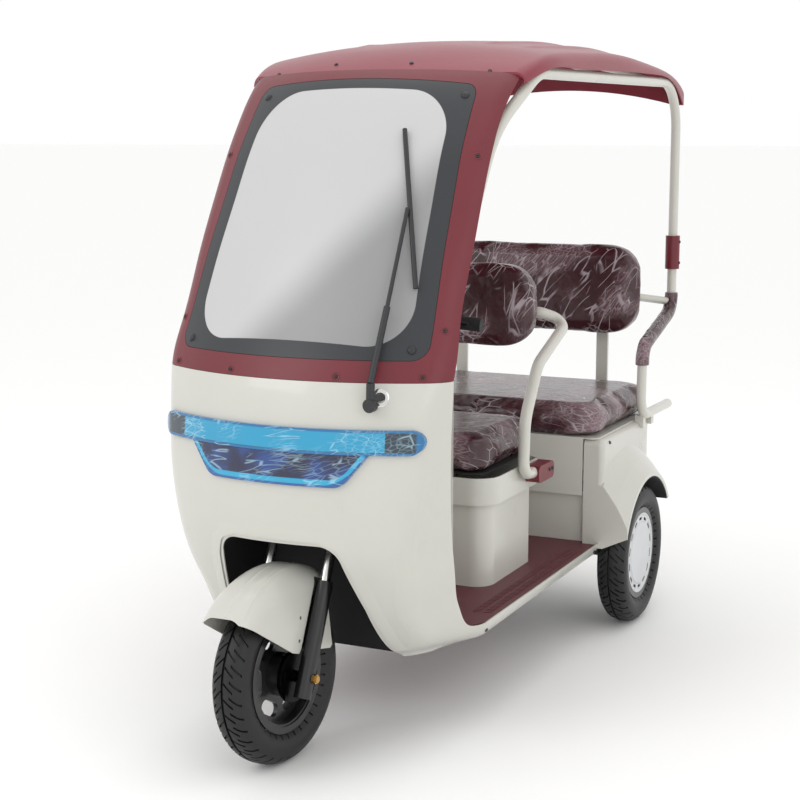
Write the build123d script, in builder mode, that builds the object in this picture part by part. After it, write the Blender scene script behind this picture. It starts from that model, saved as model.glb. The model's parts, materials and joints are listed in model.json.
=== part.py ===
from build123d import *
import os
from math import cos, radians, sin, sqrt, tan

os.makedirs("parts", exist_ok=True)

# Electric passenger tricycle, in millimetres.
# The front points to -Y, +X is the vehicle's left and the ground is z = 0.
# Cab stations are measured back from the front axle, rear ones from the rear axle.

# ---- running gear ----
wheelbase = 1470
track = 830
front_axle_y = -865
tyre_diameter = 430
tyre_width = 92
axle_height = tyre_diameter / 2
tyre_bore = 262
rake = 25
fork_offset = 36
steer_at_rest = 6
clearance = 0.3
running_fit = 0.1
leg_spacing = 172
leg_radius = 21
stanchion_radius = 13.5

# ---- cab skin ----
cab_wall = 4
skin_radius = 690
skin_corner = 84
skin_blend = 60
flank_angle = 60
belt_height = 940
seam_height = 925
sill_height = 288
# height, nose station, station where the flank meets the side, half width
skin_levels = [
    (203, 242, 430, 300),
    (235, 188, 415, 350),
    (270, 145, 372, 380),
    (310, 110, 342, 388),
    (360, 75, 315, 388),
    (440, 30, 254, 388),
    (530, -8, 205, 388),
    (620, -20, 174, 388),
    (700, -20, 159, 388),
    (790, -12, 158, 388),
    (870, 2, 161, 388),
    (belt_height, 24, 168, 388),
    (1040, 77, 222, 388),
    (1190, 152, 298, 388),
    (1335, 235, 380, 388),
    (1440, 296, 441, 386),
    (1530, 362, 506, 386),
    (1600, 422, 568, 386),
    (1650, 487, 634, 386),
    (1690, 570, 718, 386),
]

# ---- floor, seats and rear body ----
floor_top = 285
floor_sheet = 5
rail_spacing = 420
rear_box_front = -222
rear_body_end = 345
rear_body_half = 396
rear_body_top = 600
rear_body_bottom = 272
panel = 4
arch_radius = 240
flare_x = 474
post_width = 62
corner_radius = 150
tail_half = 205
step_height = 428
kick_back = 16
house_x = 334
seat_half = 258
seat_front = 655
seat_depth = 410
seat_box_top = 586
seat_base = 592
seat_board = 3
seat_thick = 104
bench_half = 376
bench_front = -232
bench_depth = 560
deck_thick = 4
bench_base = rear_body_top + deck_thick + clearance
bench_thick = 96

driver_box_half = 282
driver_box_front = 648
driver_box_back = 1010
driver_box_wall = 4
back_pad = 74
# ---- roof and tubes ----
roof_half = 412
roof_wall = 4
roof_end = 492
tube = 15
grip_tube = 16
post_x = roof_half - roof_wall - tube - clearance
post_back = 462
rail_height = 1655


def at_front(station):
    return front_axle_y + station


def at_rear(station):
    return front_axle_y + wheelbase + station


def save(piece, name):
    piece.part.label = name
    export_step(piece.part, f"parts/{name}.step")


# ======================================================================
# Tubes
# ======================================================================
def bent_tube(points, bend, outer, bore=0):
    with BuildPart() as pipe:
        with BuildLine() as route:
            if len(points) > 2:
                FilletPolyline(*points, radius=bend)
            else:
                Line(*points)
        with BuildSketch(Plane(origin=route.line @ 0, z_dir=route.line % 0)):
            Circle(outer)
            if bore:
                Circle(bore, mode=Mode.SUBTRACT)
        sweep()
    return pipe.part


def both_sides(solid):
    return [solid, mirror(solid, about=Plane.YZ)]


# ---- route of the roof tubes, from the floor up the pillars and down the rear posts ----
sleeve_low = 1058
sleeve_high = 1166
sleeve_middle = (sleeve_low + sleeve_high) / 2
rail_x = 388
hoop_x = 346
rail_radius = 19
rail_low = floor_top - floor_sheet - rail_radius - clearance
front_cross = 300
front_cross_radius = 12
front_cross_height = rail_low + 6
leg_foot = front_cross_height + front_cross_radius + 1
roof_path = [
    (288, at_front(300), leg_foot),
    (322, at_front(190), 960),
    (hoop_x, at_front(492), 1500),
    (rail_x, at_front(680), 1644),
    (post_x, at_rear(post_back), rail_height),
    (post_x, at_rear(post_back), sleeve_middle + 0.5),
]
roof_bends = [200, 400, 120, 150]


# ======================================================================
# Cab skin: level outlines with a bowed nose, slanted flanks and flat sides
# ======================================================================
def skin_corner_point(nose, flank, half, inset):
    turn = radians(flank_angle)
    side = half - inset
    front = at_front(nose) + inset
    bend = at_front(flank) + inset * (1 - sin(turn)) / cos(turn)
    bow = skin_radius - inset
    behind = bend - front - bow
    along = side * cos(turn) + behind * sin(turn)
    reach = along + sqrt(along**2 + bow**2 - side**2 - behind**2)
    return side, front, bend, side - reach * cos(turn), bend - reach * sin(turn)


def skin_solid(inset, lowest, highest, back):
    levels = [row for row in skin_levels if lowest <= row[0] <= highest]
    with BuildPart() as solid:
        for height, nose, flank, half in levels:
            side, front, bend, corner_x, corner_y = skin_corner_point(nose, flank, half, inset)
            with BuildSketch(Plane.XY.offset(height)) as outline:
                with BuildLine():
                    ThreePointArc((-corner_x, corner_y), (0, front), (corner_x, corner_y))
                    Polyline(
                        (corner_x, corner_y),
                        (side, bend),
                        (side, back),
                        (-side, back),
                        (-side, bend),
                        (-corner_x, corner_y),
                    )
                make_face()
                bends = outline.vertices().sort_by(Axis.Y)[2:4]
                fillet(bends, skin_blend - inset)
                corners = outline.vertices().sort_by(Axis.Y)[:2]
                fillet(corners, skin_corner - inset)
        loft()
    return solid.part


with_outer = skin_solid(0, 203, 1690, at_rear(rear_box_front))
skin_seat = skin_solid(-clearance, 203, 1690, at_rear(10))


def side_cut(points):
    return [(at_front(station), height) for station, height in points]


# ---- front shell: nose, flanks and the sill strips beside the floor ----
arch_half = 205
arch_waist = 188
arch_waist_height = 370
arch_top_half = 152
arch_top = 540
arch_corner = 52
shell_edge = side_cut([(162, seam_height), (154, 820), (152, 700), (174, 560), (218, 440), (262, 360)])

with BuildPart() as front_shell:
    add(with_outer)
    add(skin_solid(cab_wall, 203, 1690, at_rear(10)), mode=Mode.SUBTRACT)
    with BuildSketch(Plane.YZ) as shell_side:
        with BuildLine():
            edge = Spline(*shell_edge)
            corner = Spline(
                edge @ 1,
                (at_front(292), 312),
                (at_front(345), sill_height),
                tangents=[edge % 1, (1, 0)],
            )
            Polyline(
                corner @ 1,
                (at_rear(rear_box_front), sill_height),
                (at_rear(rear_box_front), 252),
                (at_front(600), 250),
                (at_front(440), 236),
                (at_front(340), 204),
                (at_front(-60), 204),
                (at_front(-60), seam_height),
                edge @ 0,
            )
        make_face()
    extrude(amount=500, both=True, mode=Mode.INTERSECT)
    with BuildSketch(Plane.XZ.offset(-at_front(320))) as arch:
        Polygon(
            (-arch_half, 180),
            (-arch_waist, arch_waist_height),
            (-arch_top_half, arch_top),
            (arch_top_half, arch_top),
            (arch_waist, arch_waist_height),
            (arch_half, 180),
            align=None,
        )
        fillet(arch.vertices().group_by(Axis.Y)[-1], arch_corner)
        fillet(arch.vertices().group_by(Axis.Y)[1], 150)
    extrude(amount=420, mode=Mode.SUBTRACT)
save(front_shell, "front_shell")


# ---- windscreen surround with its stepped window ----
surround_wall = 14
surround_base = seam_height + 1
glass_thick = 5
glass_recess = glass_thick + clearance
glass_lap = 12
glass_bottom = 974
glass_top = 1611
glass_foot_half = 336
glass_head_half = 301
glass_corner = 34
glass_crown = 18
pillar_points = [
    (162, surround_base),
    (183, 980),
    (278, 1190),
    (354, 1335),
    (408, 1430),
    (470, 1520),
    (579, 1625),
]
pillar_edge = side_cut(pillar_points)
seam_station = 492
seam_radius = 835
seam_gap = 1.2


def window_face(grow):
    with BuildSketch(Plane.XZ.offset(-at_front(640))) as window:
        with BuildLine():
            foot = glass_foot_half + grow
            head = glass_head_half + grow
            Polyline(
                (-head, glass_top + grow),
                (-foot, glass_bottom - grow),
                (foot, glass_bottom - grow),
                (head, glass_top + grow),
            )
            ThreePointArc(
                (-head, glass_top + grow),
                (0, glass_top + glass_crown + grow),
                (head, glass_top + grow),
            )
        make_face()
        fillet(window.vertices(), glass_corner + grow)
    return window.sketch


def seam_cutter(gap):
    with BuildPart() as cutter:
        with BuildSketch(Plane.XY.offset(1480)):
            with Locations((0, at_front(seam_station) + seam_radius + gap)):
                Circle(seam_radius)
        extrude(amount=400)
    return cutter.part


with BuildPart() as windscreen_frame:
    add(with_outer)
    add(skin_solid(surround_wall, 203, 1690, at_rear(10)), mode=Mode.SUBTRACT)
    with BuildSketch(Plane.YZ) as surround_side:
        with BuildLine():
            edge = Spline(*pillar_edge)
            Polyline(
                edge @ 1,
                (at_front(600), 1690),
                (at_front(-60), 1690),
                (at_front(-60), surround_base),
                edge @ 0,
            )
        make_face()
    extrude(amount=500, both=True, mode=Mode.INTERSECT)
    add(seam_cutter(-seam_gap), mode=Mode.SUBTRACT)
    extrude(window_face(-glass_lap), amount=900, mode=Mode.SUBTRACT)
    add(
        extrude(window_face(0), amount=900, mode=Mode.PRIVATE)
        - skin_solid(glass_recess, 203, 1690, at_rear(10)),
        mode=Mode.SUBTRACT,
    )
save(windscreen_frame, "windscreen_frame")

with BuildPart() as windscreen:
    add(with_outer)
    add(skin_solid(glass_thick, 203, 1690, at_rear(10)), mode=Mode.SUBTRACT)
    add(extrude(window_face(-1), amount=900, mode=Mode.PRIVATE), mode=Mode.INTERSECT)
save(windscreen, "windscreen")

# ---- lamps: a full-width bar and a bowl-shaped lamp below it ----
lamp_proud = 9
bar_half = 350
bar_height = 58
bar_middle = 792
bowl_top_half = 236
bowl_low_half = 176
bowl_bottom = 686
bowl_corner = 42
lamp_gap = 0.6


lamp_skin = skin_solid(-lamp_proud, 203, 1690, at_rear(10))


def lamp_band(profile):
    with BuildPart() as band:
        extrude(profile, amount=420)
        add(lamp_skin, mode=Mode.INTERSECT)
        add(skin_seat, mode=Mode.SUBTRACT)
    return band.part


with BuildSketch(Plane.XZ.offset(-at_front(300))) as bar_outline:
    with Locations((0, bar_middle)):
        SlotOverall(2 * bar_half, bar_height)

with BuildSketch(Plane.XZ.offset(-at_front(300))) as bowl_outline:
    Polygon(
        (-bowl_top_half, bar_middle - bar_height / 2 - lamp_gap),
        (-bowl_low_half, bowl_bottom),
        (bowl_low_half, bowl_bottom),
        (bowl_top_half, bar_middle - bar_height / 2 - lamp_gap),
        align=None,
    )
    fillet(bowl_outline.vertices().group_by(Axis.Y)[0], bowl_corner)

with BuildPart() as headlamp_bar:
    add(lamp_band(bar_outline.sketch))
save(headlamp_bar, "headlamp_bar")

with BuildPart() as headlamp_bowl:
    add(lamp_band(bowl_outline.sketch))
save(headlamp_bowl, "headlamp_bowl")

# ---- wheel well: a dark tunnel behind the arch, open below and for the fork ----
well_gap = 6
well_wall = 3
well_back = 262
fork_slot = 268
fork_slot_front = 62
fork_slot_back = 266


def well_face(grow):
    with BuildSketch(Plane.XZ.offset(-at_front(well_back - grow))) as tunnel:
        Polygon(
            (-arch_half - well_gap + grow, 150),
            (-arch_waist - well_gap + grow, arch_waist_height),
            (-arch_top_half - well_gap + grow, arch_top + well_gap - grow),
            (arch_top_half + well_gap - grow, arch_top + well_gap - grow),
            (arch_waist + well_gap - grow, arch_waist_height),
            (arch_half + well_gap - grow, 150),
            align=None,
        )
        fillet(tunnel.vertices().group_by(Axis.Y)[-1], arch_corner)
    return tunnel.sketch


with BuildPart() as wheel_well:
    extrude(well_face(-well_wall), amount=400)
    extrude(well_face(0), amount=400, mode=Mode.SUBTRACT)
    add(skin_solid(cab_wall + clearance, 203, 1690, at_rear(10)), mode=Mode.INTERSECT)
    with BuildSketch(Plane.XY.offset(arch_top)):
        with Locations((0, at_front((fork_slot_front + fork_slot_back) / 2))):
            Rectangle(fork_slot, fork_slot_back - fork_slot_front)
    extrude(amount=60, mode=Mode.SUBTRACT)
    with BuildSketch(Plane.YZ):
        with BuildLine():
            Polyline(
                (at_front(-80), 800),
                (at_front(-80), 236),
                (at_front(180), 236),
                (at_front(300), 208),
                (at_front(300), 800),
                close=True,
            )
        make_face()
    extrude(amount=500, both=True, mode=Mode.INTERSECT)
save(wheel_well, "wheel_well")

# ---- leg shield and dashboard ----
shield_wall = 4
shield_back = 405
shield_plan = [(372, 178), (288, 380), (252, shield_back)]
dash_base = 930
dash_top = 944
binnacle_half = 165
binnacle_rise = 75

with BuildPart() as leg_shield:
    with BuildSketch(Plane.XY.offset(floor_top)):
        with BuildLine():
            right = [(x, at_front(y)) for x, y in shield_plan]
            left = [(-x, y) for x, y in reversed(right)]
            Polyline(*right, *left)
        trace(line_width=shield_wall)
    extrude(amount=dash_base - floor_top)
    add(skin_solid(cab_wall + clearance, 203, 1690, at_rear(10)), mode=Mode.INTERSECT)
save(leg_shield, "leg_shield")

column_hole = 34
with BuildPart() as dashboard:
    with BuildSketch(Plane.XY.offset(dash_base)) as dash:
        with BuildLine():
            Polyline(
                (-252, at_front(shield_back + 4)),
                (-290, at_front(382)),
                (-374, at_front(180)),
                (-374, at_front(0)),
                (374, at_front(0)),
                (374, at_front(180)),
                (290, at_front(382)),
                (252, at_front(shield_back + 4)),
                close=True,
            )
        make_face()
    extrude(amount=dash_top - dash_base)
    with BuildSketch(Plane.XY.offset(dash_top)):
        with Locations((0, at_front(215))):
            RectangleRounded(2 * binnacle_half, 150, 30)
    extrude(amount=binnacle_rise, taper=14)
    add(skin_solid(surround_wall + clearance, 203, 1690, at_rear(10)), mode=Mode.INTERSECT)
    with BuildSketch(Plane.XY.offset(dash_base)):
        with Locations((0, at_front(376))):
            Circle(column_hole)
    extrude(amount=40, mode=Mode.SUBTRACT)
    for solid in both_sides(bent_tube(roof_path[:3], roof_bends[0], tube + 2)):
        add(solid, mode=Mode.SUBTRACT)
save(dashboard, "dashboard")

# ---- floor pan ----
floor_half = 377
box_half = rear_body_half - post_width - 4
with BuildPart() as floor_pan:
    with BuildSketch(Plane.XY.offset(floor_top - floor_sheet)):
        with BuildLine():
            Polyline(
                (-box_half, at_rear(rear_box_front) + kick_back - 1 - clearance),
                (-box_half, at_rear(rear_box_front)),
                (-floor_half, at_rear(rear_box_front)),
                (-floor_half, at_front(385)),
                (-332, at_front(305)),
                (332, at_front(305)),
                (floor_half, at_front(385)),
                (floor_half, at_rear(rear_box_front)),
                (box_half, at_rear(rear_box_front)),
                (box_half, at_rear(rear_box_front) + kick_back - 1 - clearance),
                close=True,
            )
        make_face()
    extrude(amount=floor_sheet)
    for solid in both_sides(bent_tube(roof_path[:3], roof_bends[0], tube + clearance)):
        add(solid, mode=Mode.SUBTRACT)
    with Locations((0, at_front(front_cross), floor_top)):
        Box(60, 90, 40, mode=Mode.SUBTRACT)
    for side in (-1, 1):
        with BuildSketch(Plane.YZ.offset(side * (house_x - 3))):
            with Locations((at_rear(0), axle_height)):
                Circle(arch_radius + clearance)
        extrude(amount=side * 90, mode=Mode.SUBTRACT)
save(floor_pan, "floor_pan")


# ---- roof frame: hoop legs behind the pillars, side rails, rear posts and the bows under the roof ----
# station, crown height, shoulder height, lowest height of the side, half width
roof_rows = [
    (at_front(470), 1641, 1564, 1520, 372),
    (at_front(560), 1683, 1628, 1560, 384),
    (at_front(700), 1722, 1680, 1600, 410),
    (at_front(900), 1743, 1700, 1620, roof_half),
    (at_front(1180), 1758, 1710, 1630, roof_half),
    (at_rear(60), 1753, 1704, 1630, roof_half),
    (at_rear(260), 1739, 1690, 1600, roof_half),
    (at_rear(390), 1719, 1674, 1560, roof_half),
    (at_rear(roof_end), 1686, 1646, 1530, roof_half - 4),
]
bow_rows = (roof_rows[2], roof_rows[4], roof_rows[6])
with BuildPart() as roof_frame:
    for side in (-1, 1):
        points = [(side * x, y, z) for x, y, z in roof_path]
        with BuildLine() as roof_route:
            FilletPolyline(*points, radius=roof_bends)
        with BuildSketch(Plane(origin=roof_route.line @ 0, z_dir=roof_route.line % 0)):
            Circle(tube)
        sweep(path=roof_route.line)
    for station, crown, shoulder, low, half in bow_rows:
        bow_top = crown - roof_wall - 2 * clearance - (tube - 3)
        bow_foot = rail_height - 4
        with BuildLine() as bow:
            ThreePointArc((-rail_x, station, bow_foot), (0, station, bow_top), (rail_x, station, bow_foot))
        with BuildSketch(Plane(origin=bow.line @ 0, z_dir=bow.line % 0)):
            Circle(tube - 3)
        sweep(path=bow.line)
save(roof_frame, "roof_frame")

# ---- outline of the rear body ----
def body_block(inset):
    with BuildPart() as block:
        with BuildSketch(Plane.XY.offset(rear_body_bottom - (inset and 20))) as plan:
            with Locations((0, at_rear((rear_box_front + rear_body_end) / 2))):
                Rectangle(
                    2 * (rear_body_half - inset),
                    rear_body_end - rear_box_front - 2 * inset,
                )
            fillet(plan.vertices().group_by(Axis.Y)[-1], corner_radius - inset)
            fillet(plan.vertices().group_by(Axis.Y)[0], 18 - inset)
        extrude(amount=rear_body_top - rear_body_bottom - inset + (inset and 20))
        fillet(block.faces().sort_by(Axis.Z)[-1].edges(), 22 - inset)
    return block.part


# ---- rear rails: posts below the sleeves, swept forward and down to the bench ----
arm_x = 404
rail_bend = 62
elbow = (post_x, at_rear(post_back), 925)
knee = (arm_x, at_rear(118), 838)
foot = (arm_x, at_rear(112), rear_body_top + tube + 6)
rear_path = [
    (post_x, at_rear(post_back), sleeve_middle - 0.5),
    elbow,
    knee,
    foot,
    (arm_x, at_rear(410), rear_body_top + tube + 4),
]
bar_height_z = 972
back_bar_x = 305
back_bar_station = at_rear(346)

back_bar = [
    (-post_x, at_rear(post_back), 950),
    (-back_bar_x, back_bar_station, bar_height_z),
    (back_bar_x, back_bar_station, bar_height_z),
    (post_x, at_rear(post_back), 950),
]
bar_tube = 12.5
support_foot = 500
support_near = 196
support_far = 306
support_thick = 12

with BuildPart() as rear_rails:
    for solid in both_sides(bent_tube(rear_path, rail_bend, grip_tube - 1)):
        add(solid)
    add(bent_tube(back_bar, 60, bar_tube))
    for side in (-1, 1):
        with BuildSketch(Plane.XY.offset(support_foot)):
            support_x = support_near if side > 0 else -support_far
            with Locations((support_x, at_rear(rear_body_end) + clearance + support_thick / 2)):
                Rectangle(38, support_thick)
        extrude(amount=bar_height_z - support_foot)
        for station in (150, 235):
            with Locations((side * (bench_half + 2), at_rear(station), rear_body_top - 20)):
                Box(
                    arm_x - bench_half,
                    26,
                    20 + tube + 4,
                    align=(Align.MIN if side > 0 else Align.MAX, Align.CENTER, Align.MIN),
                )
    add(body_block(-clearance), mode=Mode.SUBTRACT)
save(rear_rails, "rear_rails")

# ---- maroon sleeves that join posts and rails ----
sleeve_radius = 23
with BuildPart() as post_sleeves:
    for side in (-1, 1):
        with BuildSketch(Plane.XY.offset(sleeve_low)):
            with Locations((side * post_x, at_rear(post_back))):
                Circle(sleeve_radius)
                Circle(grip_tube - 1 + clearance, mode=Mode.SUBTRACT)
        extrude(amount=sleeve_high - sleeve_low)
save(post_sleeves, "post_sleeves")

# ---- soft arm pads round the sloping stretch of each rail ----
pad_radius = 21.5
pad_path = [
    (post_x, at_rear(post_back), 980),
    elbow,
    knee,
    (arm_x, at_rear(116.7), 782),
]
with BuildPart() as arm_pads:
    for solid in both_sides(bent_tube(pad_path, rail_bend, pad_radius, grip_tube - 1 + clearance)):
        add(solid)
    add(bent_tube(back_bar, 60, bar_tube + clearance), mode=Mode.SUBTRACT)
save(arm_pads, "arm_pads")

# ---- driver's grab rails and backrest hoop in one bent tube ----
grab_x = 302
grab_cross = 1126
grab_path = [
    (0, at_front(grab_cross), 985),
    (236, at_front(grab_cross), 985),
    (grab_x, at_front(1172), 957),
    (grab_x, at_front(935), 862),
    (grab_x, at_front(842), 720),
    (grab_x, at_front(832), 570),
    (grab_x, at_front(985), 553),
]
grab_bends = [34, 34, 90, 120, 44]
with BuildPart() as grab_rails:
    for solid in both_sides(bent_tube(grab_path, grab_bends, grip_tube)):
        add(solid)
save(grab_rails, "grab_rails")

bracket_front = 900
bracket_back = 1020
bracket_height = 48
with BuildPart() as rail_brackets:
    for side in (-1, 1):
        with BuildSketch(Plane.YZ.offset(side * (driver_box_half + 21))):
            with Locations((at_front((bracket_front + bracket_back) / 2), 556)):
                RectangleRounded(bracket_back - bracket_front, bracket_height, 16)
        extrude(amount=20.5, both=True)
    for solid in both_sides(bent_tube(grab_path[4:], grab_bends[-1], grip_tube + clearance)):
        add(solid, mode=Mode.SUBTRACT)
save(rail_brackets, "rail_brackets")

# ---- roof shell ----
roof_lip = [
    (at_front(470), 1560),
    (at_front(579), 1612),
    (at_front(700), 1652),
    (at_front(900), 1662),
    (at_front(1180), 1667),
    (at_rear(180), 1672),
    (at_rear(310), 1664),
    (at_rear(410), 1632),
    (at_rear(roof_end), 1586),
]
roof_tail_edge = 1580
roof_tail_crown = 1637
roof_round = 34


def roof_solid(inset):
    with BuildPart() as solid:
        for station, crown, shoulder, low, row_half in roof_rows:
            end = station - inset if station == roof_rows[-1][0] else station
            half = row_half - inset
            edge = shoulder - inset
            with BuildSketch(Plane.XZ.offset(-end)) as section:
                with BuildLine():
                    ThreePointArc((-half, edge), (0, crown - inset), (half, edge))
                    Polyline((half, edge), (half, low - inset * 3), (-half, low - inset * 3), (-half, edge))
                make_face()
                fillet(section.vertices().group_by(Axis.Y)[-1], roof_round - inset)
        loft()
    return solid.part


with BuildPart() as roof_shell:
    add(roof_solid(0))
    add(roof_solid(roof_wall), mode=Mode.SUBTRACT)
    with BuildSketch(Plane.YZ):
        with BuildLine():
            lip = Spline(*roof_lip)
            Polyline(
                lip @ 1,
                (at_rear(roof_end + 60), 1586),
                (at_rear(roof_end + 60), 1900),
                (at_front(470), 1900),
                lip @ 0,
            )
        make_face()
    extrude(amount=600, both=True, mode=Mode.INTERSECT)
    with BuildSketch(Plane.XY.offset(1480)):
        with Locations((0, at_front(seam_station) + seam_radius)):
            Circle(seam_radius)
        with Locations((0, at_front(seam_station) + seam_radius)):
            Rectangle(2 * seam_radius, 2 * seam_radius, align=(Align.CENTER, Align.MIN))
        with Locations((0, at_rear(roof_end + 100))):
            Rectangle(4 * seam_radius, 4 * seam_radius, align=(Align.CENTER, Align.MIN), mode=Mode.SUBTRACT)
    extrude(amount=420, mode=Mode.INTERSECT)
    with BuildSketch(Plane.XZ.offset(-at_rear(410))):
        with BuildLine():
            ThreePointArc(
                (-roof_half + 12, roof_tail_edge),
                (0, roof_tail_crown),
                (roof_half - 12, roof_tail_edge),
            )
            Polyline((roof_half - 12, roof_tail_edge), (0, 1400), (-roof_half + 12, roof_tail_edge))
        make_face()
    extrude(amount=-200, mode=Mode.SUBTRACT)
save(roof_shell, "roof_shell")

# ---- rear body: quarters with flared arches, front box panels, tail ----


def flare_solid(inset):
    with BuildPart() as flare:
        with BuildSketch(Plane.XZ.offset(-at_rear(0))) as profile:
            with BuildLine():
                Polyline(
                    (house_x, axle_height),
                    (house_x, axle_height + arch_radius + 96 - inset),
                    (rear_body_half - inset, axle_height + arch_radius + 92 - inset),
                    (flare_x - 36 - inset, axle_height + arch_radius + 52 - inset),
                    (flare_x - inset, axle_height + arch_radius + 12 - inset),
                    (flare_x - inset, axle_height),
                    close=True,
                )
            make_face()
        revolve(axis=Axis((0, at_rear(0), axle_height), (1, 0, 0)))
        with Locations((0, at_rear(rear_box_front) + inset, axle_height)):
            Box(1200, 300, 900, align=(Align.CENTER, Align.MAX, Align.CENTER), mode=Mode.SUBTRACT)
    return flare.part


def flare_end():
    with BuildPart() as cutter:
        for side in (-1, 1):
            with BuildSketch(Plane.YZ.offset(side * (rear_body_half + clearance))):
                Polygon(
                    (at_rear(130), 200),
                    (at_rear(130), 334),
                    (at_rear(330), 378),
                    (at_rear(330), 200),
                    align=None,
                )
            extrude(amount=side * 200)
    return cutter.part


with BuildPart() as quarter:
    add(body_block(0))
    add(flare_solid(0))
    add(body_block(panel), mode=Mode.SUBTRACT)
    add(flare_solid(panel), mode=Mode.SUBTRACT)
    with BuildSketch(Plane.YZ):
        with Locations((at_rear(0), axle_height)):
            Circle(arch_radius)
        with Locations((at_rear(rear_box_front) + panel, axle_height)):
            Rectangle(300, 900, align=(Align.MAX, Align.CENTER), mode=Mode.SUBTRACT)
    extrude(amount=700, mode=Mode.SUBTRACT)
    with BuildSketch(Plane.XZ.offset(-at_rear(0))):
        Polygon(
            (rear_body_half, rear_body_bottom),
            (flare_x + 20, rear_body_bottom + 46),
            (flare_x + 20, 0),
            (rear_body_half, 0),
            align=None,
        )
    extrude(amount=600, mode=Mode.SUBTRACT)
    with BuildSketch(Plane.YZ.offset(tail_half)) as keep:
        with BuildLine():
            Polyline(
                (at_rear(rear_box_front) - 5, rear_body_bottom),
                (at_rear(-100), rear_body_bottom),
                (at_rear(280), 296),
                (at_rear(rear_body_end) + 5, 330),
                (at_rear(rear_body_end) + 5, rear_body_top + 5),
                (at_rear(rear_box_front) - 5, rear_body_top + 5),
                close=True,
            )
        make_face()
    extrude(amount=500, mode=Mode.INTERSECT)
    with Locations((tail_half, at_rear(rear_box_front), 200)):
        Box(
            rear_body_half - post_width - tail_half,
            60,
            500,
            align=(Align.MIN, Align.CENTER, Align.MIN),
            mode=Mode.SUBTRACT,
        )
    add(flare_end(), mode=Mode.SUBTRACT)
quarter.part.label = "quarter"
with BuildPart() as rear_quarter_left:
    add(quarter.part)
save(rear_quarter_left, "rear_quarter_left")
with BuildPart() as rear_quarter_right:
    add(mirror(quarter.part, about=Plane.YZ))
save(rear_quarter_right, "rear_quarter_right")

# ---- dark wheel houses inside the rear arches ----
with BuildPart() as wheel_houses:
    for side in (-1, 1):
        with BuildSketch(Plane.YZ.offset(side * house_x)) as house:
            with Locations((at_rear(0), axle_height)):
                Circle(arch_radius - clearance)
            with Locations((at_rear(0), rear_body_bottom + 4)):
                Rectangle(900, 900, align=(Align.CENTER, Align.MAX), mode=Mode.SUBTRACT)
            with Locations((at_rear(rear_box_front) + panel + clearance, axle_height)):
                Rectangle(300, 900, align=(Align.MAX, Align.CENTER), mode=Mode.SUBTRACT)
        extrude(amount=side * (flare_x - house_x - 2))
        with BuildSketch(Plane.YZ.offset(side * (house_x + 3))):
            with Locations((at_rear(0), axle_height)):
                Circle(arch_radius - 4)
        extrude(amount=side * 300, mode=Mode.SUBTRACT)
    add(flare_end(), mode=Mode.SUBTRACT)
save(wheel_houses, "wheel_houses")

# ---- bench box: front panel, recessed kick panel and the deck under the bench ----
panel_front = at_rear(rear_box_front) + 2
deck_end = at_rear(rear_body_end) - 10
deck_half = bench_half - 2
with BuildPart() as bench_box:
    with BuildSketch(Plane.XY.offset(rear_body_top)):
        with Locations((0, (panel_front + deck_end) / 2)):
            RectangleRounded(2 * deck_half, deck_end - panel_front, 24)
    extrude(amount=deck_thick)
    with Locations((0, panel_front, step_height)):
        Box(2 * box_half, 3, rear_body_top - step_height, align=(Align.CENTER, Align.MIN, Align.MIN))
    with Locations((0, panel_front, step_height)):
        Box(2 * box_half, kick_back, 3, align=(Align.CENTER, Align.MIN, Align.MIN))
    with Locations((0, panel_front + kick_back - 3, floor_top + clearance)):
        Box(
            2 * box_half,
            3,
            step_height - floor_top,
            align=(Align.CENTER, Align.MIN, Align.MIN),
        )
save(bench_box, "bench_box")

# ---- tail panel, with two holes for a plate, and lamps ----
plate_hole_radius = 3.2
plate_hole_spacing = 210
plate_hole_height = 470
with BuildPart() as tail_panel:
    with Locations((0, at_rear(rear_body_end), 330)):
        Box(
            2 * tail_half - 1,
            panel,
            rear_body_top - 22 - 330,
            align=(Align.CENTER, Align.MAX, Align.MIN),
        )
    with BuildSketch(Plane.XZ.offset(-at_rear(rear_body_end))):
        with Locations((0, plate_hole_height)):
            with GridLocations(plate_hole_spacing, 1, 2, 1):
                Circle(plate_hole_radius)
    extrude(amount=2 * panel, mode=Mode.SUBTRACT)
save(tail_panel, "tail_panel")

# each lamp stands midway between the supports of the two sides
lamp_x = (support_near + support_far) / 2
with BuildPart() as tail_lamps:
    for side in (-1, 1):
        with BuildSketch(Plane.XZ.offset(-at_rear(rear_body_end) - 18)):
            with Locations((side * lamp_x, 470)):
                RectangleRounded(64, 150, 18)
        extrude(amount=90)
        add(body_block(-clearance), mode=Mode.SUBTRACT)
save(tail_lamps, "tail_lamps")

# ---- driver's seat box: a stepped bucket, open above ----
box_step = 512
box_inset = 16


def seat_tub(inset, low, high):
    step = box_step + inset
    with BuildPart() as tub:
        for shrink, base, top in ((box_inset, low, step), (0, step, high)):
            with BuildSketch(Plane.XY.offset(base)) as outline:
                with Locations((0, at_front((driver_box_front + driver_box_back) / 2))):
                    Rectangle(
                        2 * (driver_box_half - shrink - inset),
                        driver_box_back - driver_box_front - 2 * (shrink + inset),
                    )
                fillet(outline.vertices().group_by(Axis.Y)[0], 70 - shrink - inset)
                fillet(outline.vertices().group_by(Axis.Y)[-1], 24 - inset)
            extrude(amount=top - base)
    return tub.part


with BuildPart() as driver_seat_box:
    add(seat_tub(0, floor_top, seat_box_top))
    add(seat_tub(driver_box_wall, floor_top + 6, 640), mode=Mode.SUBTRACT)
save(driver_seat_box, "driver_seat_box")

with BuildPart() as battery_pack:
    with Locations((0, at_front((driver_box_front + driver_box_back) / 2), floor_top + 6)):
        Box(400, 230, 180, align=(Align.CENTER, Align.CENTER, Align.MIN))
save(battery_pack, "battery_pack")

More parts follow.
